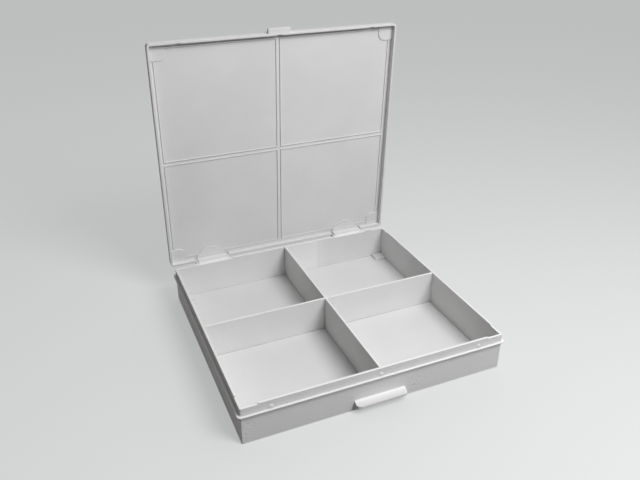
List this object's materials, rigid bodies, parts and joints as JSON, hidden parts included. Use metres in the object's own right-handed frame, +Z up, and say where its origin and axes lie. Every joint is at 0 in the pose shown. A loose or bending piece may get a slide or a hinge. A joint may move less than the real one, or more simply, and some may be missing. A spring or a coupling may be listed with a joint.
{
  "type": "compartment storage box",
  "caption": "Shallow square storage box with crossed dividers, a stepped rim, a finger ledge and a hinged lid that stands open on its own stop.",
  "frame": {"origin": "centre of the tray's underside", "axes": "+X to the right as seen from the finger ledge, +Y towards the hinges, +Z up"},
  "size_m": [0.18, 0.1839, 0.1968],
  "materials": {
    "printed_plastic": "off-white filament with fine layer lines, slightly silky",
    "pin_steel": "plain ground steel"
  },
  "bodies": {
    "base": {"tray": "printed_plastic", "long_divider": "printed_plastic", "cross_divider": "printed_plastic", "hinge_pin_left": "pin_steel", "hinge_pin_right": "pin_steel"},
    "lid": {"lid": "printed_plastic"}
  },
  "joints": [
    {"name": "lid_hinge", "type": "hinge", "parent": "base", "child": "lid", "pos_m": [0, 0.0877, 0.0213], "axis": [1, 0, 0], "range_deg": [0, 86.5]}
  ]
}
